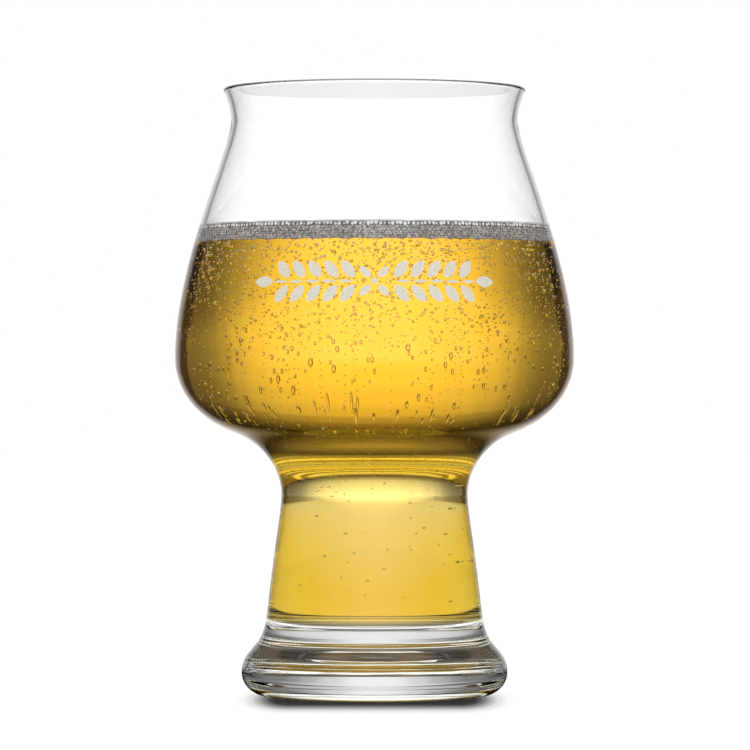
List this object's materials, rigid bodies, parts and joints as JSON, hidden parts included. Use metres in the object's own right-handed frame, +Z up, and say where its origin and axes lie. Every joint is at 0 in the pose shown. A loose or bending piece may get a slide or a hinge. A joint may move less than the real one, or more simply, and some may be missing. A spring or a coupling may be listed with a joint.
{
  "type": "cider glass",
  "caption": "Drinking glass with a wide bowl, flared lip, hollow waisted stem and thick solid foot, filled with sparkling cider under a thin foam, with a pale leaf sprig printed on the bowl.",
  "frame": {"origin": "centre of the ring that the foot stands on, at table height", "axes": "+Z up along the axis of the glass, -Y out of the printed front"},
  "size_m": [0.0954, 0.0954, 0.1456],
  "materials": {
    "clear_glass": "polished clear glass",
    "cider": "clear golden liquid",
    "foam": "fine wet foam",
    "enamel": "satin fired enamel"
  },
  "bodies": {
    "root": {"glass": "clear_glass", "cider": "cider", "foam": "foam", "front_print": "enamel"}
  },
  "joints": []
}
